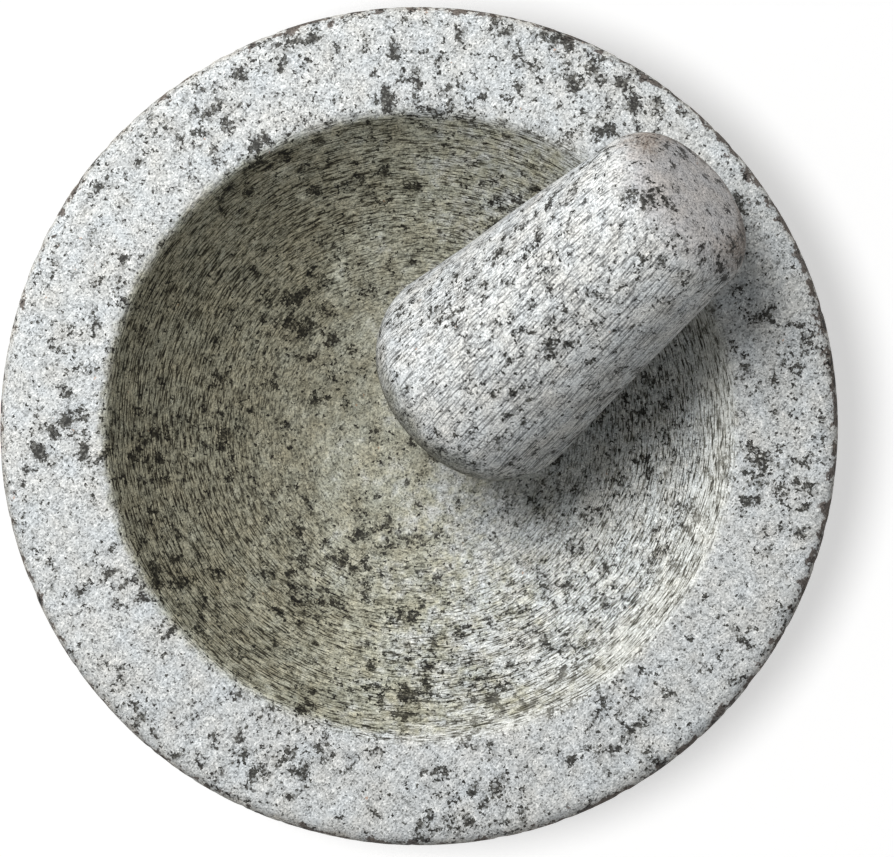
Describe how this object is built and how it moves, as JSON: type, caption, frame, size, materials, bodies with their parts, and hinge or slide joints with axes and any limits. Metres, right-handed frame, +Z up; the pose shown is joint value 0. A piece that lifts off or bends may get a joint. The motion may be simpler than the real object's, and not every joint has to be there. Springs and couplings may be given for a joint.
{
  "type": "molcajete",
  "caption": "Granite mortar with a wide flat rim and carved feet, and a loose tapered stone pestle leaning in its bowl.",
  "frame": {"origin": "on the surface it stands on, under the centre of the mortar", "axes": "+Z up, +X the way the pestle leans out over the rim, +Y completes the right-handed frame"},
  "size_m": [0.216, 0.216, 0.1567],
  "materials": {
    "mortar_granite": "matte",
    "pestle_granite": "matte"
  },
  "bodies": {
    "mortar": {"mortar": "mortar_granite"},
    "pestle": {"pestle": "pestle_granite"}
  },
  "joints": [
    {"name": "pestle_lift", "type": "slide", "parent": "mortar", "child": "pestle", "axis": [0, 0, 1], "range_m": [0, 0.12]}
  ]
}
